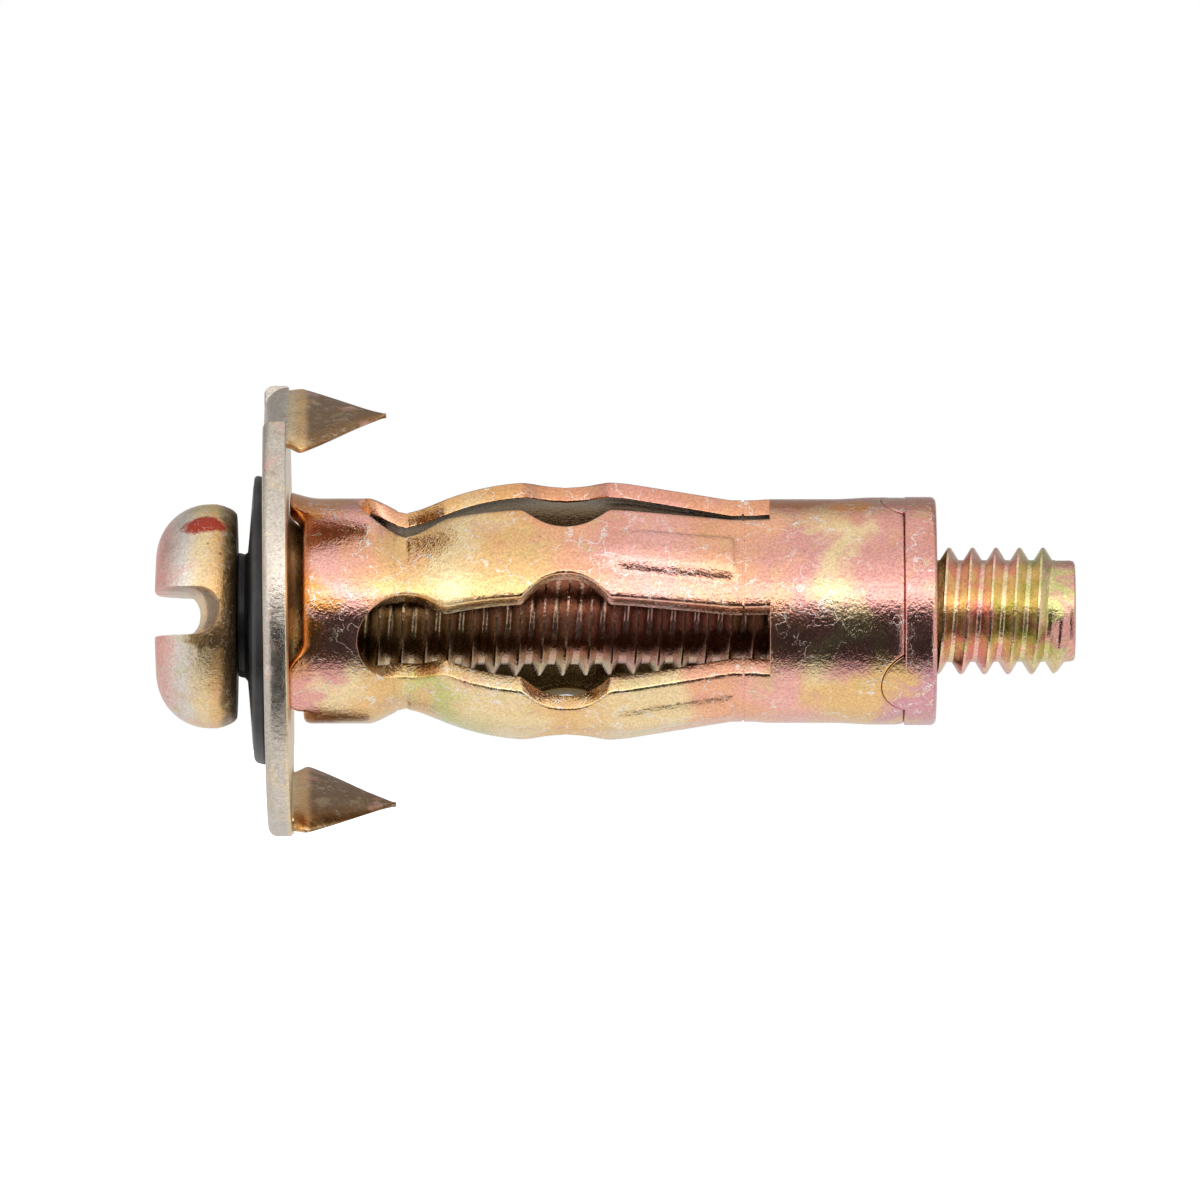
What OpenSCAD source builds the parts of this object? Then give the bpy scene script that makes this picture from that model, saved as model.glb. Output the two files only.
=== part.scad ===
// Hollow-wall anchor: a folding sleeve on a spiked flange, drawn up by a slotted screw.
// The axis of the anchor is X. The wall face of the flange is at x = 0, the head is at -X.

/* [Part to show] */
// One sub-part by name, or all of them

/* [Screw] */
// Diameter over the thread crests
thread_d = 3.78; // [3.5:0.02:3.78]
// Distance from one thread to the next
thread_pitch = 0.7; // [0.5:0.05:1]
// Depth of the thread
thread_depth = 0.37; // [0.2:0.01:0.42]
// Length under the head
screw_len = 25; // [22:0.5:45]
// Head diameter
head_d = 6.69; // [6:0.01:7.2]
// Head height
head_h = 2.46; // [2:0.01:2.8]
// Width of the driver slot
slot_w = 1.4; // [0.8:0.05:1.6]
// Depth of the driver slot at its middle
slot_depth = 1.36; // [0.8:0.02:1.6]
// Roll of the driver slot about the axis
slot_roll = -3.5; // [-90:0.5:90]
// Diameter of the plain neck under the head
neck_d = 3.0; // [2.6:0.05:3.04]

/* [Retaining washer] */
// Outer diameter of the washer
washer_d = 8.6; // [7.6:0.1:10]
// Diameter of the washer hub
washer_hub_d = 3.7; // [3.6:0.05:4.4]
// Washer thickness at the rim
washer_rim = 0.36; // [0.25:0.01:0.4]
// Bore of the washer
washer_bore = 3.2; // [3.14:0.02:3.4]

/* [Flange] */
// Flange diameter
flange_d = 13.46; // [13.2:0.02:14]
// Thickness of the flange sheet
flange_t = 0.7; // [0.5:0.05:0.8]
// Roll of the first prong about the axis, from the top
prong_roll = 22; // [15:1:30]
// Distance from the axis to the outside of a prong
prong_reach = 6.33; // [6.2:0.01:6.4]
// Reach of a prong tip behind the wall face
prong_len = 3.05; // [2.4:0.05:3.1]
// Width of a prong at its root
prong_w = 4.9; // [3.6:0.1:4.9]
// Thickness of a prong
prong_t = 0.5; // [0.4:0.05:0.6]

/* [Sleeve] */
// Thickness of the sleeve sheet
sheet_t = 0.5; // [0.4:0.02:0.54]
// Outside diameter of the front collar
collar_d = 6.72; // [6.6:0.02:6.8]
// Outside diameter of the sleeve at the bulge
bulge_d = 7.76; // [7.4:0.02:7.8]
// Width of a folding leg
leg_w = 2.98; // [2.6:0.02:3.1]
// Height of the stiffening rib on a rear panel
rib_h = 0.12; // [0.05:0.01:0.2]
// Roll of the first leg about the axis, from the top
leg_roll = 61; // [55:1:67]

/* [Nut] */
// Outside diameter of the end ring
nut_ring_d = 6.8; // [6.7:0.02:6.9]
// Length of the end ring
nut_ring_len = 0.97; // [0.8:0.01:1.2]
// Bore of the nut, over the thread crests
nut_bore = 3.88; // [3.84:0.01:3.96]

/* [Hidden] */
$fn = 96;
under_head = -1.573;
head_corner_r = 1.64;
slot_crown_r = 8.3;
neck_len = 3.1;
tip_chamfer = 0.55;
thread_count = floor((screw_len - neck_len - tip_chamfer) / thread_pitch);
thread_root_r = thread_d / 2 - thread_depth;
thread_x0 = under_head + screw_len - tip_chamfer - thread_count * thread_pitch;
seat_gap = 0.02;
washer_back = -flange_t - seat_gap;
washer_cone_r = 4.0;
flange_bore_r = 2.05;
flange_neck_r = 2.45;
flange_neck_tip_r = 2.32;
flange_neck_len = 1.5;
rim_round = 0.12;
bend_r = 0.75;
neck_far = 2.3;
neck_slit = 1.1;
neck_w = neck_far + neck_slit;
slit_w = 0.1;
collar_x0 = 0.42;
crease_front = 3.0;
crease_mid = 8.24;
crease_rear = 13.48;
crease_gap = 0.05;
waist_x = 3.5;
waist_r = 2.97;
collar_r = collar_d / 2;
bulge_r = bulge_d / 2;
bulge_x0 = 7.46;
bulge_x1 = 9.25;
bulge_arc_r = 7.58;
rear_ease = 1.05;
rear_slope = 0.168;
rear_collar_r = 3.34;
rear_waist_r = 3.31;
sleeve_end = 18.3;
slot_x1 = 14.3;
keyhole_x = 3.33;
keyhole_r = 1.29;
notch_r = 1.39;
notch_off = 0.70;
tab_roll = 12;
tab_flare_r = 3.58;
lug_r = 1.2;
lug_off = 0.55;
lug_gap = 0.03;
nut_body_x0 = 15.2;
profile_step = 0.3;
rib_x0 = 9.3;
rib_w = 1.4;

// Outside radius of the sleeve at a place along the axis
function front_rise(x) = bulge_r - bulge_arc_r + sqrt(pow(bulge_arc_r, 2) - pow(bulge_x0 - x, 2));
function rear_drop(d) = d < rear_ease ? rear_slope / 2 / rear_ease * d * d
    : rear_slope * (d - rear_ease / 2);
function ramp(x, x0, x1, r0, r1) = r0 + (r1 - r0) * (x - x0) / (x1 - x0);
function sleeve_r(x) = x < 2.4 ? collar_r
    : x < waist_x ? ramp(x, 2.4, waist_x, collar_r, waist_r)
    : x < bulge_x0 ? max(waist_r, front_rise(x))
    : x < bulge_x1 ? bulge_r
    : x < crease_rear ? max(rear_waist_r, bulge_r - rear_drop(x - bulge_x1))
    : x < slot_x1 ? ramp(x, crease_rear, slot_x1, rear_waist_r, rear_collar_r)
    : rear_collar_r;

// A profile of [radius, place along the axis] turned about the X axis
module turned() {
    rotate([0, 90, 0])
        rotate_extrude()
            children();
}

// Something built round the top of the sleeve, rolled about the axis
module rolled(a) {
    rotate([a, 0, 0])
        children();
}

// A flat outline of [place along the axis, width] pushed outward from the axis
module radial(h) {
    linear_extrude(height = h)
        children();
}

module sleeve_wall(x0, x1, lift = 0, t = sheet_t) {
    n = ceil((x1 - x0) / profile_step);
    xs = [for (i = [0:n]) x0 + (x1 - x0) * i / n];
    outer = [for (x = xs) [sleeve_r(x) + lift, x]];
    inner = [for (i = [n:-1:0]) [sleeve_r(xs[i]) - t, xs[i]]];
    turned()
        polygon(concat(outer, inner));
}

module leg_outline(x0, x1) {
    difference() {
        translate([x0, -leg_w / 2])
            square([x1 - x0, leg_w]);
        for (side = [-1, 1])
            translate([crease_mid, side * (leg_w / 2 + notch_off)])
                circle(r = notch_r);
    }
}

// The round front ends of the four slots between the legs
module keyholes() {
    for (k = [0:3])
        rolled(leg_roll + 45 + 90 * k)
            translate([keyhole_x, 0, 0])
                cylinder(r = keyhole_r, h = 6);
}

module front_panel(k) {
    color("goldenrod")
        difference() {
            intersection() {
                sleeve_wall(crease_front + crease_gap, crease_mid - crease_gap);
                rolled(leg_roll + 90 * (k - 1))
                    radial(6)
                        leg_outline(crease_front, crease_mid);
            }
            keyholes();
        }
}

module rear_panel(k) {
    x0 = crease_mid + crease_gap;
    x1 = crease_rear - crease_gap;
    color("darkgoldenrod")
        union() {
            intersection() {
                sleeve_wall(x0, x1);
                rolled(leg_roll + 90 * (k - 1))
                    radial(6)
                        leg_outline(x0, x1);
            }
            intersection() {
                sleeve_wall(rib_x0, x1 - 0.1, rib_h, 0.1);
                rolled(leg_roll + 90 * (k - 1))
                    radial(6)
                        rib_outline(x1 - 0.1);
            }
        }
}

module rib_outline(x1) {
    translate([rib_x0, -rib_w / 2])
        square([x1 - rib_x0 - rib_w / 2, rib_w]);
    translate([x1 - rib_w / 2, 0])
        circle(d = rib_w);
}

module screw() {
    color("khaki")
        difference() {
            union() {
                turned()
                    translate([0, under_head - head_h])
                        head_profile();
                turned()
                    translate([0, under_head - 0.1])
                        square([neck_d / 2, neck_len + 0.1]);
                turned()
                    thread_profile();
            }
            driver_slot();
        }
}

module head_profile() {
    intersection() {
        square([head_d / 2, head_h]);
        union() {
            square([head_d / 2 - head_corner_r, head_h]);
            translate([head_d / 2 - head_corner_r, head_corner_r])
                circle(r = head_corner_r);
        }
    }
}

module thread_profile() {
    root = thread_root_r;
    crest = thread_d / 2;
    tip_x = under_head + screw_len;
    start = [[0, under_head + neck_len - 0.05], [root, under_head + neck_len - 0.05]];
    turns = [for (i = [0:thread_count - 1]) each [
        [root, thread_x0 + (i + 0.1) * thread_pitch],
        [crest, thread_x0 + (i + 0.47) * thread_pitch],
        [crest, thread_x0 + (i + 0.53) * thread_pitch],
        [root, thread_x0 + (i + 0.9) * thread_pitch]]];
    polygon(concat(start, turns, [[root, tip_x - tip_chamfer], [root - 0.3, tip_x], [0, tip_x]]));
}

// The floor of the slot is highest at the middle and lower toward the rim
module driver_slot() {
    floor_x = under_head - head_h + slot_depth;
    rolled(slot_roll)
        difference() {
            translate([under_head - head_h - 1, -head_d, -slot_w / 2])
                cube([slot_depth + 1.7, 2 * head_d, slot_w]);
            translate([floor_x + slot_crown_r, 0, -slot_w])
                cylinder(r = slot_crown_r, h = 2 * slot_w);
        }
}

module retaining_washer() {
    hub_x = under_head + seat_gap;
    hub_end = under_head + 0.3;
    rim_front = washer_back - washer_rim;
    rim_r = washer_d / 2;
    color("dimgray")
        turned()
            polygon([
                [washer_bore / 2, hub_x], [washer_hub_d / 2, hub_x],
                [washer_hub_d / 2, hub_end], [washer_cone_r, rim_front],
                [rim_r - 0.1, rim_front], [rim_r, rim_front + 0.1],
                [rim_r, washer_back - 0.1], [rim_r - 0.1, washer_back],
                [washer_bore / 2, washer_back]]);
}

module spiked_flange() {
    color("lightgray")
        union() {
            difference() {
                turned()
                    flange_profile();
                for (k = [0, 1])
                    rolled(prong_roll + 180 * k)
                        prong_slit();
            }
            for (k = [0, 1])
                rolled(prong_roll + 180 * k)
                    prong();
        }
}

// The rim is cut away round the neck of each prong
module prong_slit() {
    translate([-flange_t - 1, -neck_slit - slit_w, prong_reach - bend_r])
        cube([flange_t + 2, neck_w + 2 * slit_w, 3]);
}

module flange_profile() {
    rim = flange_d / 2;
    difference() {
        union() {
            translate([0, -flange_t])
                square([rim - rim_round, flange_t]);
            translate([0, -flange_t + rim_round])
                square([rim, flange_t - 2 * rim_round]);
            for (x = [-flange_t + rim_round, -rim_round])
                translate([rim - rim_round, x])
                    circle(r = rim_round);
            polygon([[0, -0.1], [flange_neck_r + 0.12, -0.1], [flange_neck_r, 0.12],
                [flange_neck_tip_r, flange_neck_len], [0, flange_neck_len]]);
        }
        translate([0, -flange_t - 1])
            square([flange_bore_r, flange_neck_len + flange_t + 2]);
    }
}

// The sheet bends through a right angle at a neck and runs on as a pointed blade
module prong() {
    chord = prong_reach - bend_r;
    translate([-flange_t, -neck_slit, chord - 0.02])
        cube([flange_t, neck_w, 0.02]);
    translate([bend_r - flange_t, neck_far, chord])
        rotate([90, 0, 0])
            rotate([0, 0, 90])
                bend_quarter();
    translate([0, 0, prong_reach - prong_t])
        radial(prong_t)
            prong_outline();
}

// A quarter of a round bar less its core
module bend_quarter() {
    intersection() {
        difference() {
            cylinder(r = bend_r, h = neck_w);
            translate([0, 0, -1])
                cylinder(r = bend_r - prong_t, h = neck_w + 2);
        }
        cube([bend_r, bend_r, neck_w]);
    }
}

// The blade widens from its neck to full width, then closes in a gentle curve to the tip
module prong_outline() {
    n = 12;
    x0 = bend_r - flange_t;
    x1 = 0.45;
    half_w = prong_w / 2;
    function half(t) = half_w * (1 - 0.72 * t - 0.28 * t * t);
    side = [for (i = [0:n]) [x1 + (prong_len - x1) * i / n, half(i / n)]];
    translate([x0 - 0.02, -neck_slit])
        square([0.3, neck_w]);
    polygon(concat([[x0, half_w - 0.3]], side,
        [for (i = [n - 1:-1:0]) [side[i][0], -side[i][1]]], [[x0, 0.3 - half_w]]));
}

module sleeve_front_collar() {
    color("peru")
        difference() {
            union() {
                sleeve_wall(collar_x0, crease_front - crease_gap);
                for (k = [0:2])
                    rolled(tab_roll + 120 * k)
                        flange_tab();
            }
            keyholes();
        }
}

module flange_tab() {
    intersection() {
        turned()
            polygon([[tab_flare_r, 0], [collar_r, 0.9], [collar_r - sheet_t, 0.9],
                [collar_r - sheet_t + 0.05, 0]]);
        radial(6)
            polygon([[0, -0.68], [collar_x0, -1.45], [0.9, -1.45],
                [0.9, 1.45], [collar_x0, 1.45], [0, 0.68]]);
    }
}

module sleeve_rear_collar() {
    color("peru")
        union() {
            difference() {
                sleeve_wall(slot_x1, sleeve_end);
                for (k = [0:2])
                    rolled(tab_roll + 120 * k)
                        translate([sleeve_end + lug_off, 0, 0])
                            cylinder(r = lug_r + lug_gap, h = 6);
            }
            for (k = [0:3])
                intersection() {
                    sleeve_wall(crease_rear + 0.1, slot_x1 + 0.01);
                    rolled(leg_roll + 90 * k)
                        radial(6)
                            leg_outline(crease_rear, slot_x1 + 0.01);
                }
        }
}

module nut() {
    body_r = rear_collar_r - sheet_t - lug_gap / 2;
    color("rosybrown")
        union() {
            turned()
                difference() {
                    union() {
                        translate([0, nut_body_x0])
                            square([body_r, sleeve_end + nut_ring_len - nut_body_x0]);
                        nut_ring_profile();
                    }
                    translate([0, nut_body_x0 - 1])
                        square([nut_bore / 2, 8]);
                }
            for (k = [0:2])
                rolled(tab_roll + 120 * k)
                    nut_lug(body_r);
        }
}

module nut_ring_profile() {
    edge = 0.12;
    x1 = sleeve_end + nut_ring_len;
    r = nut_ring_d / 2;
    polygon([[0, sleeve_end + 0.02], [r - edge, sleeve_end + 0.02], [r, sleeve_end + 0.02 + edge],
        [r, x1 - edge], [r - edge, x1], [0, x1]]);
}

module nut_lug(body_r) {
    intersection() {
        turned()
            translate([body_r - 0.1, sleeve_end - lug_r])
                square([rear_collar_r + 0.02 - body_r + 0.1, lug_r + 0.1]);
        translate([sleeve_end + lug_off, 0, 0])
            cylinder(r = lug_r, h = 6);
        translate([sleeve_end - 3, -3, 0])
            cube([3.1, 6, 6]);
    }
}

screw();
retaining_washer();
spiked_flange();
sleeve_front_collar();
front_panel(1);  // leg_1_front_panel
front_panel(2);  // leg_2_front_panel
front_panel(3);  // leg_3_front_panel
front_panel(4);  // leg_4_front_panel
rear_panel(1);  // leg_1_rear_panel
rear_panel(2);  // leg_2_rear_panel
rear_panel(3);  // leg_3_rear_panel
rear_panel(4);  // leg_4_rear_panel
sleeve_rear_collar();
nut();
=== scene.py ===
import math

import bmesh
import bpy
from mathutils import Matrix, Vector


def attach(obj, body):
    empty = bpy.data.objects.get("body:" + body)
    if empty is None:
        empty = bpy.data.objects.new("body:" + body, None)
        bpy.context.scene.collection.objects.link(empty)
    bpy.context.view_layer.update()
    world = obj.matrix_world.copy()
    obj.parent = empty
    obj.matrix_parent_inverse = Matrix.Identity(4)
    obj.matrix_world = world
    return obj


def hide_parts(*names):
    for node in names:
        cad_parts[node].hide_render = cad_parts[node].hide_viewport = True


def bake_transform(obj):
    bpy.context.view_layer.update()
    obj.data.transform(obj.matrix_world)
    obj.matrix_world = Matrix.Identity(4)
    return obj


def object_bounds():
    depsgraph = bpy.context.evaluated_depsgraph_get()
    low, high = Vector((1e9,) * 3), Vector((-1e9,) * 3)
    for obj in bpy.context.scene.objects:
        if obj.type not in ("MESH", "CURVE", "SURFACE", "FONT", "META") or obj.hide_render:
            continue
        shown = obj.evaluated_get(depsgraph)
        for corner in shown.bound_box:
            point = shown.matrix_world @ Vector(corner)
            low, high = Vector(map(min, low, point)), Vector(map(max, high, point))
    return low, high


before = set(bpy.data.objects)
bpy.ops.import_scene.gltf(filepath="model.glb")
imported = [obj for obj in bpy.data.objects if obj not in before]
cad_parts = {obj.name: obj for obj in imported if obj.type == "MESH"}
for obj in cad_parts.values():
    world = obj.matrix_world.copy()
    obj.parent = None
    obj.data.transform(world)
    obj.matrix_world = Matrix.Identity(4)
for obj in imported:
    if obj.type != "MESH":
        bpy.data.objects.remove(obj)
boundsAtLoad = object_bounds()
mm = 0.001  # lengths are in millimetres until a mesh is made
perMetre = (1000, 1000, 1000)  # and a finish reads its place in millimetres too

# places shared by several pieces, along the axis and round it
plan = {
    "legRoll": 61.0,  # first leg, degrees from the top about the axis
    "prongRoll": 22.0,
    "tabRoll": 12.0,
    "creaseFront": 3.0,
    "creaseMiddle": 8.24,
    "creaseRear": 13.48,
    "pivotRadius": 3.25,
    "sleeveEnd": 18.3,
    "lugOff": 0.55,
}


def ease(t):
    t = max(0.0, min(1.0, t))
    return t * t * (3 - 2 * t)


def between(a, b, t):
    return a + (b - a) * t


def fromAxis(x, radius, roll):
    # a place at that radius, rolled about the axis from the top
    a = math.radians(roll)
    return Vector((x, -radius * math.sin(a), radius * math.cos(a)))


def angleOff(roll, centre):
    return (roll - centre + 180) % 360 - 180


def arcSteps(cx, cy, r, start, end, steps):
    # points on an arc, angles in degrees, both ends included
    return [(cx + r * math.cos(math.radians(between(start, end, i / steps))),
             cy + r * math.sin(math.radians(between(start, end, i / steps))))
            for i in range(steps + 1)]


def sheetSection(a, b, thick, roundA, roundB, faceSteps):
    # the closed outline of a sheet's cut: a..b across, 0..thick deep
    points = [(between(a + roundA, b - roundB, i / faceSteps), 0.0) for i in range(faceSteps + 1)]
    points += arcSteps(b - roundB, roundB, roundB, -60, 0, 2)
    points += arcSteps(b - roundB, thick - roundB, roundB, 0, 60, 2)
    points += [(between(b - roundB, a + roundA, i / faceSteps), thick) for i in range(faceSteps + 1)]
    points += arcSteps(a + roundA, thick - roundA, roundA, 120, 180, 2)
    points += arcSteps(a + roundA, roundA, roundA, 180, 240, 2)
    return points


def addLoft(bm, rows, closed=False):
    # skins a run of outlines that have the same number of points
    made = [[bm.verts.new(p) for p in row] for row in rows]
    pairs = list(zip(made, made[1:]))
    if closed:
        pairs.append((made[-1], made[0]))
    for one, two in pairs:
        for i in range(len(one)):
            j = (i + 1) % len(one)
            bm.faces.new((one[i], one[j], two[j], two[i]))
    if not closed:
        bm.faces.new(made[0][::-1])
        bm.faces.new(made[-1])


def addLathe(bm, profile, steps=120):
    # turns an open profile of (radius, x) about the axis; ends on the axis close up
    rows = []
    for radius, x in profile:
        if radius < 1e-6:
            rows.append([bm.verts.new((x, 0, 0))])
        else:
            rows.append([bm.verts.new(fromAxis(x, radius, 360 * k / steps)) for k in range(steps)])
    for one, two in zip(rows, rows[1:]):
        for k in range(steps):
            n = (k + 1) % steps
            a, b = one[k % len(one)], one[n % len(one)]
            c, d = two[n % len(two)], two[k % len(two)]
            corners = []
            for v in (a, b, c, d):
                if v not in corners:
                    corners.append(v)
            if len(corners) > 2:
                bm.faces.new(corners)


def finishMesh(bm, name, sharp=38, welded=0.0):
    if welded:
        bmesh.ops.remove_doubles(bm, verts=bm.verts, dist=welded)
    bmesh.ops.recalc_face_normals(bm, faces=bm.faces)
    for f in bm.faces:
        f.smooth = True
    mesh = bpy.data.meshes.new(name)
    bm.to_mesh(mesh)
    bm.free()
    mesh.set_sharp_from_angle(angle=math.radians(sharp))
    obj = bpy.data.objects.new(name, mesh)
    bpy.context.scene.collection.objects.link(obj)
    return obj


def toMetres(obj):
    for v in obj.data.vertices:
        v.co *= mm


def hang(obj, drop, fromX, toX):
    # a loose piece lies a little low: by drop at fromX, and by nothing at toX
    for v in obj.data.vertices:
        v.co.z -= drop * mm * max(0.0, min(1.0, (toX * mm - v.co.x) / ((toX - fromX) * mm)))


def dress(obj, material, body=None):
    obj.data.materials.clear()
    obj.data.materials.append(material)
    if body:
        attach(obj, body)


def nodeMaker(material):
    material.use_nodes = True
    tree = material.node_tree
    tree.nodes.clear()

    def add(kind, inputs=None, **settings):
        node = tree.nodes.new(kind)
        for key, value in settings.items():
            setattr(node, key, value)
        for key, value in (inputs or {}).items():
            if isinstance(value, bpy.types.NodeSocket):
                tree.links.new(value, node.inputs[key])
            else:
                node.inputs[key].default_value = value
        return node

    return add


def rampNode(add, factor, stops, interpolation="EASE"):
    ramp = add("ShaderNodeValToRGB", {"Fac": factor})
    ramp.color_ramp.interpolation = interpolation
    elements = ramp.color_ramp.elements
    while len(elements) > 1:
        elements.remove(elements[-1])
    elements[0].position, elements[0].color = stops[0][0], (*stops[0][1], 1)
    for place, colour in stops[1:]:
        elements.new(place).color = (*colour, 1)
    return ramp.outputs["Color"]


# colours that the chromate film takes, with the bare metal of a scratch, the dark of stains, the shadow
# colour of painted shade, and a prong film deepened into painted dark reflection
film = {
    "bare": (0.86, 0.82, 0.76),
    "silver": (0.76, 0.68, 0.60),
    "straw": (0.84, 0.64, 0.36),
    "gold": (0.80, 0.50, 0.22),
    "orange": (0.80, 0.34, 0.11),
    "salmon": (0.84, 0.43, 0.26),
    "pink": (0.84, 0.43, 0.37),
    "violet": (0.66, 0.33, 0.35),
    "green": (0.60, 0.56, 0.22),
    "brown": (0.30, 0.19, 0.09),
    "rust": (0.62, 0.22, 0.07),
    "red": (0.48, 0.06, 0.03),
    "rose": (0.74, 0.36, 0.31),
    "bronzeAndPaintedDark": (0.27, 0.15, 0.065),
    "shadow": (0.12, 0.08, 0.028),
    "steel": (0.61, 0.54, 0.46),
}


# how every zinc finish is worn, and where it is given painted shade: sizes are per millimetre, steps are
# ranges of a noise
wearAndShade = {
    "stainAndShadeRun": (0.55, 1.0, 1.0),  # stains, and the spot of painted shade, are drawn out along the axis
    "stainAndShadeRagged": 1.6, "stainAndShadeEdge": (1.95, 1.5),
    # topSide: the height band where the tops get painted shade
    "lowerSide": (-1.2, -2.2), "topSide": (2.1, 3.3), "sideWander": 4.0,
    "blotchStep": (0.56, 0.70), "speckleSize": 13.0,
    "hairWidth": (0.024, 0.007), "hairBreaks": (0.38, 0.50), "hairRise": 0.08,
    "scratchStep": (0.66, 0.72), "pitSize": 1.4, "pitEdge": (0.03, 0.09),
    # inward and hiddenFade shape the painted shade inside the sleeve
    "inward": (-0.15, -0.6), "hiddenFade": 0.3,
    "markRoughness": 0.08, "markBump": 0.3,
    "grainDepth": 0.00003, "speckleDepth": 0.00002, "markDepth": 0.00001,
}


def zincFinish(name, look):
    # yellow-chromate zinc: the film's colour drifts with place, over a fine grain and light wearing, with
    # painted shade on inward faces, on hidden parts and on the tops
    material = bpy.data.materials.new(name)
    add = nodeMaker(material)
    coords = add("ShaderNodeTexCoord")
    inMm = add("ShaderNodeVectorMath", {0: coords.outputs["Object"], 1: perMetre},
               operation="MULTIPLY").outputs[0]
    split = add("ShaderNodeSeparateXYZ", {0: inMm})

    def noise(scale, detail=3.0, rough=0.55, bend=0.0, where=inMm):
        return add("ShaderNodeTexNoise", {"Vector": where, "Scale": scale, "Detail": detail,
                                          "Roughness": rough, "Distortion": bend}).outputs["Fac"]

    def remap(value, step, toLow=0.0, toHigh=1.0):
        return add("ShaderNodeMapRange", {"Value": value, "From Min": step[0], "From Max": step[1],
                                          "To Min": toLow, "To Max": toHigh},
                   interpolation_type="SMOOTHSTEP").outputs[0]

    def sums(a, b, operation="ADD"):
        return add("ShaderNodeMath", {0: a, 1: b}, operation=operation).outputs[0]

    def vectors(a, b, operation="MULTIPLY", output=0):
        return add("ShaderNodeVectorMath", {0: a, 1: b}, operation=operation).outputs[output]

    def tinted(mask, colour, filmName):
        return add("ShaderNodeMix", {"Factor": mask, "A": colour, "B": (*film[filmName], 1)},
                   data_type="RGBA").outputs["Result"]

    def bumped(height, strength, depth, below=None):
        inputs = {"Height": height, "Strength": strength, "Distance": depth}
        if below:
            inputs["Normal"] = below
        return add("ShaderNodeBump", inputs).outputs[0]

    # the film along the axis, on the upper and the lower side, with wandering borders
    wander = sums(noise(look["patchScale"], bend=0.5), 0.5, "SUBTRACT")
    along = add("ShaderNodeMapRange", {"Value": split.outputs["X"], "From Min": look["fromX"],
                                       "From Max": look["toX"]}).outputs[0]
    place = sums(along, sums(wander, look["wander"], "MULTIPLY"))
    upper = rampNode(add, place, [(p, film[c]) for p, c in look["film"]])
    lower = rampNode(add, place, [(p, film[c]) for p, c in look["lowFilm"]])
    tilt = sums(split.outputs["Z"], sums(wander, wearAndShade["sideWander"], "MULTIPLY"))
    colour = add("ShaderNodeMix", {"Factor": remap(tilt, wearAndShade["lowerSide"]), "A": upper, "B": lower},
                 data_type="RGBA").outputs["Result"]
    # painted shade: the tops of each piece are tinted toward rust, darker at the top
    colour = tinted(remap(tilt, wearAndShade["topSide"], 0.0, look["paintedTopShade"]), colour, "rust")

    # small blotches of other films
    for filmName, scale, share in look["blotches"]:
        mask = remap(noise(scale, 4.0, 0.6, 0.6), wearAndShade["blotchStep"], 0.0, share)
        colour = tinted(mask, colour, filmName)

    # single stains, and one spot of painted shade in the shadow colour
    for at, reach, filmName in look["spots"]:
        middle = [a * b for a, b in zip(at, wearAndShade["stainAndShadeRun"])]
        away = vectors(vectors(inMm, wearAndShade["stainAndShadeRun"]), middle, "DISTANCE", "Value")
        ragged = sums(away, sums(noise(2.6, 5.0, 0.7), reach * wearAndShade["stainAndShadeRagged"], "MULTIPLY"))
        colour = tinted(remap(ragged, [reach * edge for edge in wearAndShade["stainAndShadeEdge"]]), colour, filmName)

    # fine grain, light and dark
    speckle = noise(wearAndShade["speckleSize"], 2.0, 0.7)
    colour = vectors(colour, remap(speckle, (0.3, 0.7), 1 - look["speckle"], 1 + look["speckle"]))

    # a web of pale hair scratches in worn places
    curl = add("ShaderNodeTexNoise", {"Vector": inMm, "Scale": 2.4, "Detail": 4.0}).outputs["Color"]
    web = add("ShaderNodeTexVoronoi", {"Vector": vectors(inMm, curl, "ADD"), "Scale": look["webScale"]},
              feature="DISTANCE_TO_EDGE").outputs["Distance"]
    wornStep = (look["webFrom"], look["webFrom"] + wearAndShade["hairRise"])
    worn = remap(noise(0.7, 3.0, 0.6), wornStep, 0.0, look["web"])
    broken = remap(noise(5.0, 2.0, 0.6), wearAndShade["hairBreaks"])
    hair = sums(sums(remap(web, wearAndShade["hairWidth"]), worn, "MULTIPLY"), broken, "MULTIPLY")
    stretched = vectors(inMm, look["scratchRun"])
    scratch = remap(noise(1.0, 3.0, 0.65, 0.9, stretched), wearAndShade["scratchStep"], 0.0, look["scratch"])
    marks = sums(hair, scratch, "MAXIMUM")
    colour = tinted(marks, colour, "bare")

    # dark residue in small pits, and painted shade: faces turned in toward the axis, and the thread hidden
    # inside the sleeve, take the shadow colour
    pit = add("ShaderNodeTexVoronoi", {"Vector": inMm, "Scale": wearAndShade["pitSize"]}).outputs["Distance"]
    colour = tinted(remap(pit, wearAndShade["pitEdge"], look["pits"], 0.0), colour, "brown")
    radial = vectors(inMm, (0, 1, 1))
    outward = add("ShaderNodeVectorMath", {0: radial}, operation="NORMALIZE").outputs[0]
    facing = vectors(coords.outputs["Normal"], outward, "DOT_PRODUCT", "Value")
    shade = remap(facing, wearAndShade["inward"], 0.0, look["innerShade"])
    if look["hiddenTo"]:
        hidden = (look["hiddenTo"] + wearAndShade["hiddenFade"], look["hiddenTo"])
        shade = sums(shade, remap(split.outputs["X"], hidden, 0.0, look["hiddenShade"]), "MAXIMUM")
    colour = tinted(shade, colour, "shadow")

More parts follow.
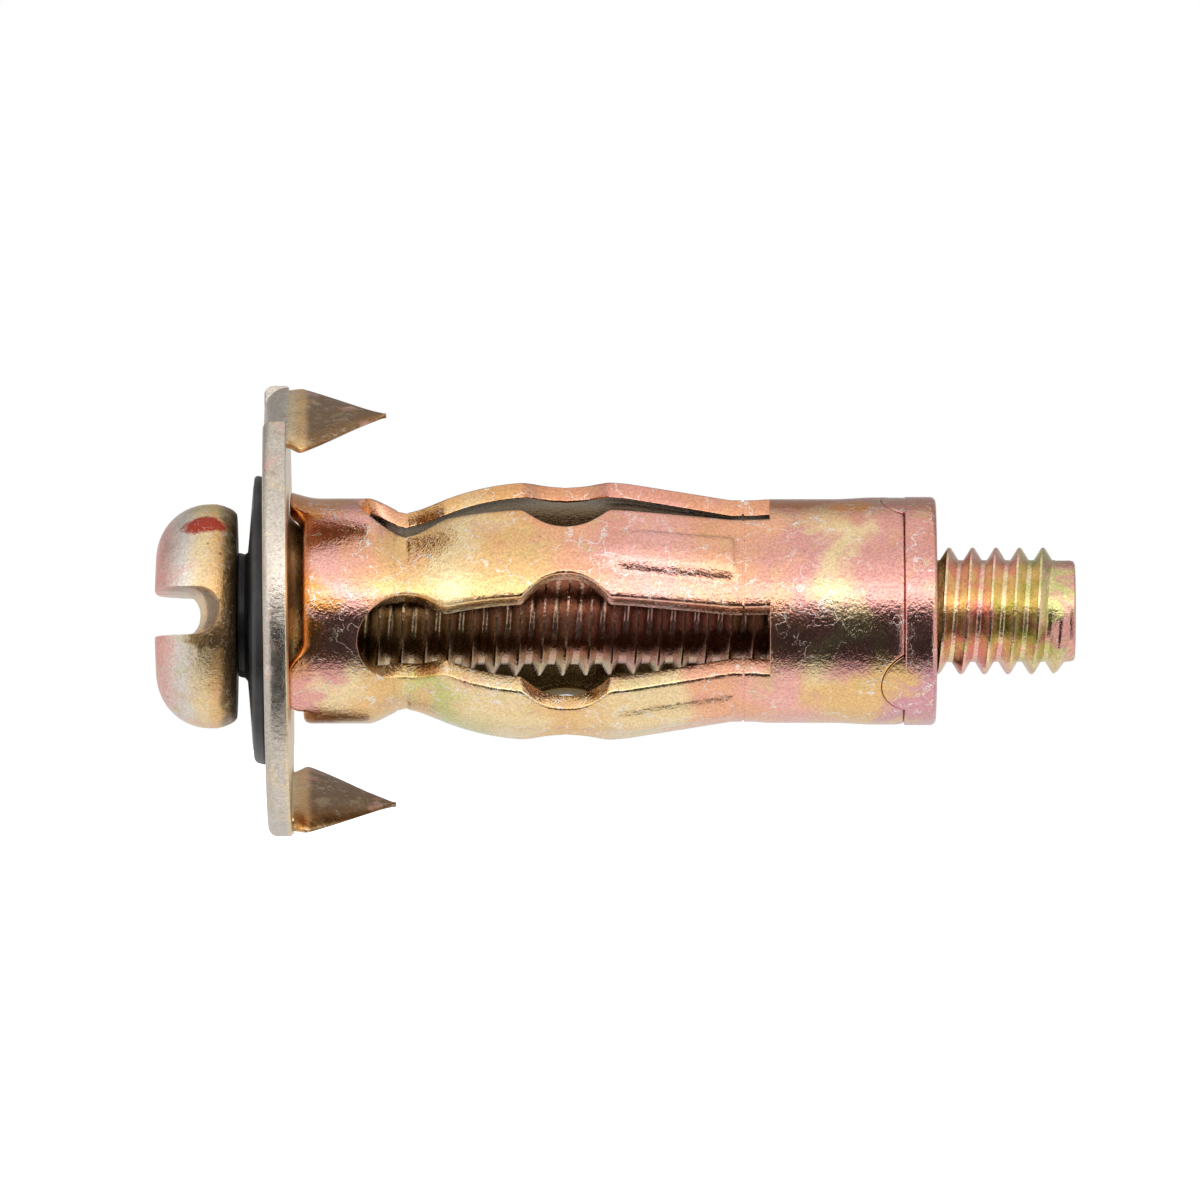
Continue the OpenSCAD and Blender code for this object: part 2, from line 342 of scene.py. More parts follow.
    roughness = remap(noise(1.3, 4.0, 0.6), (0.3, 0.7), look["smoothest"], look["roughest"])
    roughness = sums(roughness, sums(marks, wearAndShade["markRoughness"], "MULTIPLY"))
    bump = bumped(noise(6.0, 3.0, 0.6), look["grain"], wearAndShade["grainDepth"])
    bump = bumped(speckle, look["grain"], wearAndShade["speckleDepth"], bump)
    bump = bumped(marks, wearAndShade["markBump"], wearAndShade["markDepth"], bump)
    shader = add("ShaderNodeBsdfPrincipled", {"Base Color": colour, "Roughness": roughness, "Normal": bump,
                                              "Metallic": look["metallic"]})
    add("ShaderNodeOutputMaterial", {"Surface": shader.outputs[0]})
    return material


zincLook = {
    "patchScale": 0.5, "wander": 0.30, "fromX": 0.0, "toX": 19.3,
    "film": [(0.02, "orange"), (0.07, "pink"), (0.13, "salmon"), (0.20, "gold"), (0.26, "straw"),
             (0.34, "gold"), (0.42, "salmon"), (0.55, "pink"), (0.70, "salmon"), (0.78, "rose"),
             (0.85, "straw"), (0.91, "rose"), (0.98, "rose")],
    "lowFilm": [(0.03, "rose"), (0.08, "straw"), (0.13, "gold"), (0.22, "green"), (0.32, "straw"),
                (0.44, "gold"), (0.55, "straw"), (0.66, "salmon"), (0.76, "pink"), (0.84, "gold"),
                (0.92, "gold"), (0.97, "violet")],
    "paintedTopShade": 0.35, "blotches": (("green", 0.9, 0.35), ("violet", 1.3, 0.3), ("gold", 1.7, 0.35)),
    "spots": (((15.0, -0.7, 3.4), 0.75, "rust"), ((16.7, -1.2, 3.1), 0.45, "orange"),
              # the shadow spot is painted shade in the lower leg's notch
              ((1.0, -0.8, 3.4), 0.6, "orange"), ((8.24, 2.7, -2.4), 0.85, "shadow")),
    "speckle": 0.16, "web": 0.85, "webScale": 1.0, "webFrom": 0.45,
    "scratch": 0.35, "scratchRun": (2.2, 0.7, 0.7), "pits": 0.5,
    # painted shade: the sleeve's inward faces take the shadow colour
    "innerShade": 0.95, "hiddenTo": 0.0, "hiddenShade": 0.0,
    "smoothest": 0.11, "roughest": 0.22, "grain": 0.5, "metallic": 1.0,
}


# the prongs' dark film is partly their own colour and partly deepened to paint the dark reflection of
# their flat faces
flangeFilm = [(0.0, "steel"), (0.17, "steel"), (0.22, "straw"), (0.30, "gold"), (0.37, "bronzeAndPaintedDark"),
              (1.0, "bronzeAndPaintedDark")]
flangeLook = {
    "film": flangeFilm, "lowFilm": flangeFilm, "fromX": -0.8, "toX": 3.2, "wander": 0.04, "paintedTopShade": 0.0,
    "blotches": (("pink", 0.8, 0.5), ("straw", 1.1, 0.4), ("brown", 1.5, 0.3), ("silver", 3.0, 0.3)),
    "spots": (((-0.45, -3.0, 5.9), 0.28, "rust"), ((0.5, 0.0, 0.0), 4.0, "gold")),
    "web": 0.35, "webScale": 2.0, "scratch": 0.6, "scratchRun": (0.8, 3.0, 3.0), "pits": 0.3,
    "innerShade": 0.0, "smoothest": 0.22, "roughest": 0.40,
}
headFilm = [(0.0, "pink"), (0.35, "silver"), (0.6, "straw"), (0.8, "gold"), (0.9, "brown"), (1.0, "brown")]
headLook = {
    "film": headFilm, "lowFilm": headFilm, "fromX": -4.0, "toX": -1.6, "wander": 0.25, "paintedTopShade": 0.0,
    "patchScale": 0.9, "blotches": (("green", 0.8, 0.5), ("pink", 1.1, 0.4), ("silver", 2.2, 0.4)),
    "spots": (((-2.55, -1.9, 2.6), 0.42, "red"), ((-2.35, -3.2, -0.75), 0.42, "brown"),
              ((-2.6, -2.7, 0.05), 0.7, "brown")),
    "web": 0.6, "webScale": 1.8, "pits": 0.9, "innerShade": 0.0,
    "smoothest": 0.30, "roughest": 0.5, "grain": 0.8,
}
threadLook = {
    "film": [(0.0, "straw"), (0.5, "pink"), (0.84, "straw"), (0.88, "pink"), (0.92, "straw"),
             (0.96, "green"), (1.0, "rose")],
    "lowFilm": [(0.0, "straw"), (0.6, "straw"), (0.85, "rose"), (0.95, "straw"), (1.0, "salmon")],
    "toX": 23.4, "paintedTopShade": 0.2, "patchScale": 0.9, "spots": (), "web": 0.3, "scratch": 0.2,
    "innerShade": 0.0, "hiddenTo": 18.6, "hiddenShade": 0.40,  # painted shade on the thread inside the sleeve, as far as the nut's ring
    "smoothest": 0.16, "roughest": 0.3,
}

sleeveZinc = zincFinish("sleeveZinc", zincLook)
flangeZinc = zincFinish("flangeZinc", {**zincLook, **flangeLook})
headZinc = zincFinish("headZinc", {**zincLook, **headLook})
threadZinc = zincFinish("threadZinc", {**zincLook, **threadLook})

plasticLook = {
    "dark": (0.012, 0.012, 0.013), "light": (0.028, 0.028, 0.030), "warm": (0.040, 0.026, 0.026),
    "cloudSize": 0.8, "grainSize": 9.0, "grainDepth": 0.00002, "smoothest": 0.32, "roughest": 0.5,
    "dust": (0.35, 0.33, 0.30), "dustSize": 2.3, "dustShare": 0.6,
}


def plasticFinish(name, look):
    # moulded black plastic: a faint cloud of warmer black, a fine grain and specks of dust
    material = bpy.data.materials.new(name)
    add = nodeMaker(material)
    place = add("ShaderNodeTexCoord").outputs["Object"]
    inMm = add("ShaderNodeVectorMath", {0: place, 1: perMetre}, operation="MULTIPLY").outputs[0]
    cloud = add("ShaderNodeTexNoise", {"Vector": inMm, "Scale": look["cloudSize"], "Detail": 3.0})
    colour = rampNode(add, cloud.outputs["Fac"], [(0.35, look["dark"]), (0.6, look["light"]),
                                                  (0.75, look["warm"])])
    grain = add("ShaderNodeTexNoise", {"Vector": inMm, "Scale": look["grainSize"], "Detail": 3.0})
    roughness = add("ShaderNodeMapRange", {"Value": grain.outputs["Fac"], "To Min": look["smoothest"],
                                           "To Max": look["roughest"]})
    bump = add("ShaderNodeBump", {"Height": grain.outputs["Fac"], "Strength": 0.3,
                                  "Distance": look["grainDepth"]})
    dust = add("ShaderNodeTexVoronoi", {"Vector": inMm, "Scale": look["dustSize"]})
    dustMask = add("ShaderNodeMapRange", {"Value": dust.outputs["Distance"], "From Min": 0.04,
                                          "From Max": 0.08, "To Min": look["dustShare"], "To Max": 0.0})
    dusty = add("ShaderNodeMix", {"Factor": dustMask.outputs["Result"], "A": colour,
                                  "B": (*look["dust"], 1)}, data_type="RGBA")
    shader = add("ShaderNodeBsdfPrincipled", {"Base Color": dusty.outputs["Result"],
                                              "Roughness": roughness.outputs["Result"],
                                              "Normal": bump.outputs[0]})
    add("ShaderNodeOutputMaterial", {"Surface": shader.outputs[0]})
    return material


blackPlastic = plasticFinish("blackPlastic", plasticLook)
print("finishes made")

sleeve = {
    "thick": 0.5,
    "collarRadius": 3.36,
    "coneStart": 2.4, "coneCurve": 0.4,
    "waistX": 3.48, "waistRadius": 2.96, "waistSoft": 0.40,
    "bulgeRadius": 3.88, "bulgeStart": 7.46, "bulgeEnd": 9.25, "bulgeArc": 7.58,
    "rearEase": 1.05, "rearSlope": 0.168, "rearWaistRadius": 3.31, "rearRadius": 3.34,
    "rearFlat": 0.3, "rearRise": 0.5,
    "frontEdge": 0.42, "tuck": 0.10, "tuckLength": 0.22,
    "tabReach": 0.02, "tabFlare": 0.2, "tabFlareLength": 0.85,
    "tabHalf": 11, "tabRunOut": 13, "flareHalf": 17, "flareRunOut": 9,  # degrees round the axis
    "slotEnd": 14.3, "foldGap": 0.07, "webInset": 0.03,
    "keyholeX": 3.33, "keyholeRadius": 1.29, "keyholeLong": 0.32,
    "lugNotchRadius": 1.23, "swell": 0.05, "swellFrom": 16.2, "swellRun": 1.2,
    "rimDraw": 0.03, "drawFrom": 18.05, "drawRun": 0.25,
    "legHalf": 1.49, "notchRadius": 1.39, "notchOff": 0.70,
    "ribStart": 9.1, "ribEnd": 13.36, "ribHalf": 0.74, "ribHeight": 0.165, "ribCrown": 0.9,
    "ribTaper": 0.86, "ribTaperLength": 2.0, "ribRunIn": 1.0, "ribRunOut": 0.22,
    "edgeRound": 0.07, "cornerSoft": 0.4, "squareFrom": 0.8, "meshStep": 0.085,
    "creaseLines": ((3.24, 0.035), (8.22, 0.02)), "creaseWidth": 0.055,
    "stripSeam": 7.5,  # where the front and rear halves of a leg meet, on the flat of the bulge
    "seamRoll": 286.0,  # the butt seam of the rolled sheet
}


def softLeast(a, b, soft):
    # the smaller of two lengths, with the corner between them rounded
    near = max(0.0, soft - abs(a - b)) / soft
    return min(a, b) - near * near * soft / 4


def sleeveRadius(x):
    s = sleeve
    if x < s["coneStart"]:
        return s["collarRadius"]
    if x < s["waistX"]:
        along = (x - s["coneStart"]) / (s["waistX"] - s["coneStart"])
        return between(s["collarRadius"], s["waistRadius"], between(along, ease(along), s["coneCurve"]))
    if x < s["bulgeStart"]:
        arc = s["bulgeRadius"] - s["bulgeArc"] + math.sqrt(s["bulgeArc"] ** 2 - (s["bulgeStart"] - x) ** 2)
        return -softLeast(-s["waistRadius"], -arc, s["waistSoft"])
    if x < s["bulgeEnd"]:
        return s["bulgeRadius"]
    rise = x - plan["creaseRear"] - s["rearFlat"]
    if rise < 0:
        d = x - s["bulgeEnd"]
        if d < s["rearEase"]:
            drop = s["rearSlope"] / 2 / s["rearEase"] * d * d
        else:
            drop = s["rearSlope"] * (d - s["rearEase"] / 2)
        return max(s["rearWaistRadius"], s["bulgeRadius"] - drop)
    return between(s["rearWaistRadius"], s["rearRadius"], ease(rise / s["rearRise"]))


def creaseDip(x):
    # fine pressed lines where the legs are meant to fold
    return sum(depth * math.exp(-((x - place) / sleeve["creaseWidth"]) ** 2)
               for place, depth in sleeve["creaseLines"])


def keyholeHalf(x):
    off = x - sleeve["keyholeX"]
    off -= max(0.0, min(sleeve["keyholeLong"], off))
    reach = sleeve["keyholeRadius"] ** 2 - off ** 2
    return math.sqrt(reach) if reach > 0 else 0.0


def legHalfWidth(x):
    half = sleeve["legHalf"]
    r = sleeveRadius(x)
    hole = keyholeHalf(x)
    if hole > 0:
        clear = r * math.sin(math.radians(45) - math.asin(hole / r))
        half = clear if x < sleeve["keyholeX"] else softLeast(half, clear, sleeve["cornerSoft"])
    bite = sleeve["notchRadius"] ** 2 - (x - plan["creaseMiddle"]) ** 2
    if bite > 0:
        notch = sleeve["legHalf"] + sleeve["notchOff"] - math.sqrt(bite)
        half = softLeast(half, notch, sleeve["cornerSoft"])
    return half


def ribLift(x, across):
    s = sleeve
    if not s["ribStart"] < x < s["ribEnd"]:
        return 0.0
    half = s["ribHalf"] * between(s["ribTaper"], 1, ease((x - s["ribStart"]) / s["ribTaperLength"]))
    sideways = max(0.0, 1 - (across / half) ** 2) ** s["ribCrown"]
    lengthways = ease((x - s["ribStart"]) / s["ribRunIn"]) * ease((s["ribEnd"] - x) / s["ribRunOut"])
    return s["ribHeight"] * sideways * lengthways


def legStrip(x0, x1, name, roll):
    # one half of a leg: an outline across the sheet, carried along the axis
    bm = bmesh.new()
    steps = math.ceil((x1 - x0) / sleeve["meshStep"])
    rows = []
    for i in range(steps + 1):
        x = between(x0, x1, i / steps)
        half = legHalfWidth(x)
        r = sleeveRadius(x) - creaseDip(x)
        row = []
        for across, deep in sheetSection(-half, half, sleeve["thick"], sleeve["edgeRound"],
                                         sleeve["edgeRound"], 30):
            # the sides are cut square to the middle of the leg, but run radial at its front end
            straight = deep * ease((x - sleeve["coneStart"]) / sleeve["squareFrom"])
            turn = math.degrees(math.asin(across / (r - straight)))
            row.append(fromAxis(x, r - deep + ribLift(x, across), roll + turn) * mm)
        rows.append(row)
    addLoft(bm, rows)
    return finishMesh(bm, name)


def creaseWeb(roll, name):
    # the metal that wraps round the rear fold: inside the leg at rest, it shows as the leg opens
    bm = bmesh.new()
    reach = plan["pivotRadius"] - sleeve["rearWaistRadius"] + sleeve["thick"] - sleeve["webInset"]
    half = sleeve["legHalf"] - 0.05
    a = math.radians(roll)
    rows = []
    for side in [between(-half, half, i / 14) for i in range(15)]:
        lift = math.sqrt(sleeve["rearWaistRadius"] ** 2 - side ** 2) - sleeve["rearWaistRadius"]
        outline = [(0.10, 0.0), (0.0, 0.02)]
        outline += arcSteps(0, 0, reach, 196, 268, 12)
        outline += [(0.10, -reach)]
        row = []
        for dx, dr in outline:
            p = fromAxis(plan["creaseRear"] + dx, plan["pivotRadius"] + dr + lift, roll)
            row.append((p + Vector((0, -side * math.cos(a), -side * math.sin(a)))) * mm)
        rows.append(row)
    addLoft(bm, rows)
    return finishMesh(bm, name)


def ringRows(rolls, front, rear, radiusAt, thick, roundFront, roundRear, faceSteps=20):
    rows = []
    for roll in rolls:
        row = []
        for x, deep in sheetSection(front(roll), rear(roll), thick, roundFront, roundRear, faceSteps):
            row.append(fromAxis(x, radiusAt(x, roll) - deep, roll) * mm)
        rows.append(row)
    return rows


def evenRolls(start, end, step, extra):
    # even steps round the axis, with more where the outline turns sharply
    count = int((end - start) / step)
    rolls = [between(start, end, i / count) for i in range(count + 1)]
    rolls += [start + (e - start) % 360 for e in extra]
    rolls = sorted(r for r in rolls if start <= r <= end)
    return [r for i, r in enumerate(rolls) if i == 0 or r - rolls[i - 1] > 0.02]


legRolls = [plan["legRoll"] + 90 * k for k in range(4)]
slotRolls = [r + 45 for r in legRolls]
threeRolls = [plan["tabRoll"] + 120 * k for k in range(3)]


def offTab(roll):
    # degrees round the axis to the nearest tab or lug
    return min(abs(angleOff(roll, t)) for t in threeRolls)


def frontCollarFront(roll):
    offEdge = (offTab(roll) - sleeve["tabHalf"]) / sleeve["tabRunOut"]
    return between(sleeve["tabReach"], sleeve["frontEdge"], ease(offEdge))


def frontCollarRear(roll):
    off = min(abs(angleOff(roll, s)) for s in slotRolls)
    side = sleeve["collarRadius"] * math.sin(math.radians(min(off, 60)))
    reach = sleeve["keyholeRadius"] ** 2 - side ** 2
    if reach <= 0:
        return sleeve["coneStart"]
    return min(sleeve["keyholeX"] - math.sqrt(reach), sleeve["coneStart"])


def frontCollarRadius(x, roll):
    onTab = 1 - ease((offTab(roll) - sleeve["flareHalf"]) / sleeve["flareRunOut"])
    flare = sleeve["tabFlare"] * onTab * max(0.0, 1 - x / sleeve["tabFlareLength"]) ** 1.4
    tuckedOver = max(0.0, 1 - (x - sleeve["frontEdge"]) / sleeve["tuckLength"])
    tuck = sleeve["tuck"] * (1 - onTab) * tuckedOver ** 2
    return sleeveRadius(x) + flare - tuck


def roundFromSeam(extra):
    # once round the axis, but for the gap of the seam
    return evenRolls(sleeve["seamRoll"] + 0.5, sleeve["seamRoll"] + 359.5, 1.8, extra)


def makeFrontCollar():
    bm = bmesh.new()
    extra = [t + side * a for t in threeRolls for side in (-1, 1) for a in (11, 14, 17, 20, 24)]
    extra += [s + side * a for s in slotRolls for side in (-1, 1) for a in (14.6, 15.0, 15.4, 15.8)]
    addLoft(bm, ringRows(roundFromSeam(extra), frontCollarFront, frontCollarRear, frontCollarRadius,
                         sleeve["thick"], 0.09, 0.012))
    return finishMesh(bm, "front_collar")


def lugNotch(roll, radius):
    # how far a rounded notch or lug reaches from the end of the sleeve at this roll
    side = sleeve["rearRadius"] * math.sin(math.radians(offTab(roll)))
    return max(0.0, math.sqrt(max(0.0, radius ** 2 - side ** 2)) - plan["lugOff"])


def rearCollarRadius(x, roll):
    # it swells a little toward the nut, and its rim is drawn in
    swell = sleeve["swell"] * ease((x - sleeve["swellFrom"]) / sleeve["swellRun"])
    return sleeveRadius(x) + swell - sleeve["rimDraw"] * ease((x - sleeve["drawFrom"]) / sleeve["drawRun"])


def makeRearCollar():
    bm = bmesh.new()
    extra = [t + side * a for t in threeRolls for side in (-1, 1)
             for a in (8, 11, 13.5, 15.5, 17, 17.8, 18.4, 18.9, 19.3)]
    addLoft(bm, ringRows(roundFromSeam(extra), lambda roll: sleeve["slotEnd"],
                         lambda roll: plan["sleeveEnd"] - lugNotch(roll, sleeve["lugNotchRadius"]),
                         rearCollarRadius, sleeve["thick"], 0.02, 0.06, 40))
    return finishMesh(bm, "rear_collar")


frontCollar = makeFrontCollar()
dress(frontCollar, sleeveZinc, "anchor_base")
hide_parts("sleeve_front_collar")

rearCollar = makeRearCollar()
dress(rearCollar, sleeveZinc, "nut_end")
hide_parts("sleeve_rear_collar")


for k, roll in enumerate(legRolls, start=1):
    frontStrip = legStrip(sleeve["coneStart"] - 0.01, sleeve["stripSeam"], f"leg_{k}_front", roll)
    dress(frontStrip, sleeveZinc)
    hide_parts(f"leg_{k}_front_panel")
    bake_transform(frontStrip)
    rearStrip = legStrip(sleeve["stripSeam"], plan["creaseRear"], f"leg_{k}_rear", roll)
    dress(rearStrip, sleeveZinc)
    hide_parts(f"leg_{k}_rear_panel")
    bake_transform(rearStrip)
    # the root of the leg, between two slots, stays with the rear collar
    root = legStrip(plan["creaseRear"] + sleeve["foldGap"], sleeve["slotEnd"] + 0.03,
                    f"leg_{k}_rear_root", roll)
    dress(root, sleeveZinc, "nut_end")
    web = creaseWeb(roll, f"leg_{k}_rear_fold")
    dress(web, sleeveZinc, "nut_end")
print("sleeve made")

# the flange, with its two prongs
flange = {
    "rimRadius": 6.73, "thick": 0.7, "rimRoundHead": 0.27, "rimRoundWall": 0.05,
    "boreRadius": 2.05, "neckRadius": 2.45, "neckTip": 2.32, "neckLength": 1.5, "neckFillet": 0.74,
    "lean": 0.6,  # degrees the top leans toward the head
    "prongReach": 6.33, "bendRadius": 0.75, "neckSlitSide": 1.1, "neckFarSide": 2.3, "slit": 0.10,
    "prongThick": 0.6, "tipThick": 0.14, "prongHalf": 2.42,
    "prongLengths": (2.96, 3.09),
}


def leaned(p):
    p.x -= p.z * math.tan(math.radians(flange["lean"]))
    return p


def flangeSection(rim):
    f = flange
    h, w, t, n = f["rimRoundHead"], f["rimRoundWall"], f["thick"], f["neckFillet"]
    points = [(f["boreRadius"] + 0.1, -t), (between(f["boreRadius"], rim, 0.5), -t)]
    points += arcSteps(rim - h, -t + h, h, -90, 0, 7)
    points += arcSteps(rim - w, -w, w, 0, 90, 3)
    points += [(between(f["neckRadius"] + n, rim, 0.5), 0)]
    points += arcSteps(f["neckRadius"] + n - 0.04, n, n, 268, 186, 8)
    points += [(f["neckTip"], f["neckLength"] - 0.06), (f["neckTip"] - 0.06, f["neckLength"]),
               (f["boreRadius"] + 0.05, f["neckLength"]), (f["boreRadius"], f["neckLength"] - 0.05),
               (f["boreRadius"], -t + 0.12), (f["boreRadius"] + 0.03, -t + 0.03)]
    return points


def slitAngle(side):
    return math.degrees(math.asin((side + flange["slit"]) / 6.1))


def rimAt(roll):
    # the rim is full but for the width of each prong's neck
    f = flange
    for turn in (0, 180):
        off = angleOff(roll, plan["prongRoll"] + turn)
        if -slitAngle(f["neckFarSide"]) < off < slitAngle(f["neckSlitSide"]):
            return (f["prongReach"] - f["bendRadius"]) / math.cos(math.radians(off)) + 0.05
    return f["rimRadius"]


def prongHalfWidth(x, length, root):
    f = flange
    if x < 0.45:
        return between(root, f["prongHalf"], ease((x + 0.01) / 0.46))
    t = (x - 0.45) / (length - 0.45)
    return max(0.03, f["prongHalf"] * (1 - 0.86 * t - 0.14 * t * t))


def prongSection(x, d, halfA, halfB, thick, facing):
    # one cut across the prong: facing is the way its outer side looks, in the plane of the bend
    nx, nd = math.cos(math.radians(facing)), math.sin(math.radians(facing))
    corner = min(0.19, halfA * 0.4, thick * 0.33)
    row = []
    for across, deep in sheetSection(-halfA, halfB, thick, corner, corner, 16):
        if facing == 90.0:
            edge = abs(across) / (halfA if across < 0 else halfB)
            inner = deep / thick
            deep += 0.13 * edge ** 4 * (1 - inner) - 0.5 * thick * edge ** 5 * inner
        row.append((x + nx * (thick / 2 - deep), across, d + nd * (thick / 2 - deep)))
    return row


def prongRows(length):
    f = flange
    chord = f["prongReach"] - f["bendRadius"]
    mid = f["bendRadius"] - f["prongThick"] / 2
    bendX = f["bendRadius"] - f["thick"]
    far, near, thick = f["neckFarSide"], f["neckSlitSide"], f["prongThick"]
    bend = [prongSection(bendX - mid, chord - 0.3, far, near, thick, 180.0)]
    bend += [prongSection(bendX + mid * math.cos(math.radians(a)), chord + mid * math.sin(math.radians(a)),
                          far, near, thick, a) for a in range(180, 94, -10)]
    bend.append(prongSection(bendX, f["prongReach"] - thick / 2, far, near, thick, 90.5))
    blade, steps = [], 36
    for i in range(steps + 1):
        x = between(-0.01, length, i / steps)
        thin = between(thick, f["tipThick"], ease(x / length))
        blade.append(prongSection(x, f["prongReach"] - thin / 2, prongHalfWidth(x, length, far),
                                  prongHalfWidth(x, length, 1.9), thin, 90.0))
    return bend, blade


def makeFlange():
    f = flange
    bm = bmesh.new()
    extra = [plan["prongRoll"] + turn + side + a for turn in (0, 180)
             for side in (-slitAngle(f["neckFarSide"]), slitAngle(f["neckSlitSide"])) for a in (-0.1, 0.1)]
    rolls = evenRolls(0.0, 357.5, 2.5, extra)
    addLoft(bm, [[leaned(fromAxis(x, r, roll)) * mm for r, x in flangeSection(rimAt(roll))]
                 for roll in rolls], closed=True)
    for turn, length in zip((0, 180), f["prongLengths"]):
        a = math.radians(plan["prongRoll"] + turn)
        for part in prongRows(length):
            addLoft(bm, [[leaned(Vector((x, -d * math.sin(a) - s * math.cos(a),
                                         d * math.cos(a) - s * math.sin(a)))) * mm
                          for x, s, d in row] for row in part])
    return finishMesh(bm, "flange")


flangePiece = makeFlange()
dress(flangePiece, flangeZinc, "anchor_base")
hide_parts("spiked_flange")
print("flange made")

# the screw: head, neck and a true helical thread
screw = {
    "underHead": -1.573, "headHeight": 2.46, "headRadius": 3.345, "cornerRadius": 1.64,
    "faceCrown": 0.045,
    "underEdge": ((0, 0.60), (0.05, 0.40), (0.13, 0.20), (0.20, 0.09), (0.29, 0.01), (0.36, 0)),
    "slotWidth": 1.42, "slotDepth": 1.36, "slotRoll": -3.5,
    "slotCrown": 8.5, "slotCorner": 0.66, "slotReach": 4.2,
    "sag": 0.16,
    "neckRadius": 1.5, "neckLength": 3.1,
    "length": 25.0, "pitch": 0.7, "crestRadius": 1.89, "rootRadius": 1.52,
    "overlap": 0.40, "runOut": 0.9, "fadeTurns": 0.3, "tipRadius": 1.47, "chamfer": 0.66,
    "tipStep": 0.15, "tipDrop": 0.05,
    "stepsPerTurn": 40,
}


def headProfile():
    s = screw
    face = s["underHead"] - s["headHeight"]
    corner = s["headRadius"] - s["cornerRadius"]
    points = [(0.0, face)]
    crown = s["faceCrown"]
    points += [(r, face + crown * (r / corner) ** 2) for r in (0.5, 1.0, 1.4)]
    points += [(corner + s["cornerRadius"] * math.sin(math.radians(a)),
                face + crown + (s["cornerRadius"] - crown) * (1 - math.cos(math.radians(a))))
               for a in range(6, 91, 7)]
    points += [(s["headRadius"] - inset, s["underHead"] - rise) for inset, rise in s["underEdge"]]
    neckEnd = s["underHead"] + s["neckLength"] - 0.1
    points += [(s["neckRadius"] + 0.1, s["underHead"]), (s["neckRadius"], s["underHead"] + 0.1),
               (s["neckRadius"], neckEnd), (0.0, neckEnd)]
    return points


def slotCutter():
    # a round-bottomed cut whose floor is highest at the middle
    s = screw
    floorX = s["underHead"] - s["headHeight"] + s["slotDepth"]
    roll = math.radians(s["slotRoll"])
    half, c = s["slotWidth"] / 2, s["slotCorner"]
    bm = bmesh.new()
    rows = []
    for y in [between(-s["slotReach"], s["slotReach"], i / 28) for i in range(29)]:
        cornerX = floorX + s["slotCrown"] - math.sqrt(s["slotCrown"] ** 2 - y * y) - c
        outline = [(floorX - 3, -half * 1.05)]
        outline += arcSteps(cornerX, c - half, c, -90, 0, 6)
        outline += [(p, -q) for p, q in reversed(outline)]
        rows.append([Vector((x, y * math.cos(roll) - z * math.sin(roll),
                             y * math.sin(roll) + z * math.cos(roll))) for x, z in outline])
    addLoft(bm, rows)
    return finishMesh(bm, "slot_cutter")


def makeHead():
    bm = bmesh.new()
    addLathe(bm, headProfile(), 144)
    head = finishMesh(bm, "screw_head")
    cutter = slotCutter()
    cut = head.modifiers.new("slot", "BOOLEAN")
    cut.object, cut.operation, cut.solver = cutter, "DIFFERENCE", "EXACT"
    soften = head.modifiers.new("edges", "BEVEL")
    soften.width, soften.segments, soften.limit_method = 0.05, 2, "ANGLE"
    soften.angle_limit = math.radians(42)
    graph = bpy.context.evaluated_depsgraph_get()
    finished = bpy.data.meshes.new_from_object(head.evaluated_get(graph))
    head.modifiers.clear()
    head.data = finished
    bpy.data.objects.remove(cutter)
    for p in finished.polygons:
        p.use_smooth = True
    finished.set_sharp_from_angle(angle=math.radians(32))
    toMetres(head)
    return head


def threadProfile():
    # one pitch: flat root, flank, narrow crest, flank
    s = screw
    deep = s["crestRadius"] - s["rootRadius"]
    return [(0.0, 0.0), (0.08, 0.0), (0.13, 0.06 * deep), (0.40, 0.90 * deep), (0.455, deep),
            (0.545, deep), (0.60, 0.90 * deep), (0.87, 0.06 * deep), (0.92, 0.0), (1.0, 0.0)]


def makeThread():
    s = screw
    start = s["underHead"] + s["neckLength"] - s["overlap"]
    tip = s["underHead"] + s["length"]
    bm = bmesh.new()
    turns = (tip - start) / s["pitch"] - 0.05
    steps = int(turns * s["stepsPerTurn"])
    core = s["rootRadius"] - 0.012
    profile = threadProfile()
    previous = None
    for i in range(steps + 1):
        turn = i / s["stepsPerTurn"]
        roll = 360 * turn  # a right-hand thread
        line = []
        for along, height in profile:
            x = start + (turn + along - 1) * s["pitch"]
            grow = ease((x - start) / s["runOut"]) * ease((turns - turn) / s["fadeTurns"])
            limit = s["crestRadius"] - max(0.0, x - (tip - s["chamfer"])) / s["chamfer"] \
                * (s["crestRadius"] - s["tipRadius"])
            if x > tip - s["tipStep"]:
                limit = core - s["tipDrop"]
            r = min(s["rootRadius"] + height * grow, limit)
            line.append(bm.verts.new(fromAxis(min(x, tip), r, -roll) * mm))
        if previous:
            for j in range(len(line) - 1):
                bm.faces.new((previous[j], previous[j + 1], line[j + 1], line[j]))
        previous = line
    # the core inside the thread, with the flat tip
    coreLine = [(core, start - 0.7), (core, tip - 0.14),
                (core - 0.03, tip - 0.05), (core - 0.10, tip - 0.004)]
    addLoft(bm, [[fromAxis(x, r, 360 * k / 80) * mm for k in range(80)] for r, x in coreLine])
    return finishMesh(bm, "screw_thread", sharp=34, welded=0.000002)


head = makeHead()
hang(head, screw["sag"], -1.5, 11.0)
dress(head, headZinc, "screw")
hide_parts("screw")
thread = makeThread()
hang(thread, screw["sag"], -1.5, 11.0)
dress(thread, threadZinc, "screw")
print("screw made")

# the plastic washer that keeps the screw in
washer = {
    "rimRadius": 4.29, "coneRadius": 4.0, "hubRadius": 1.85, "boreRadius": 1.58,
    "rimThick": 0.36, "back": -0.72, "hubLength": 0.3, "rimRound": 0.14,
    "sagFront": 0.10, "sagBack": 0.31,  # it hangs askew on the neck
}


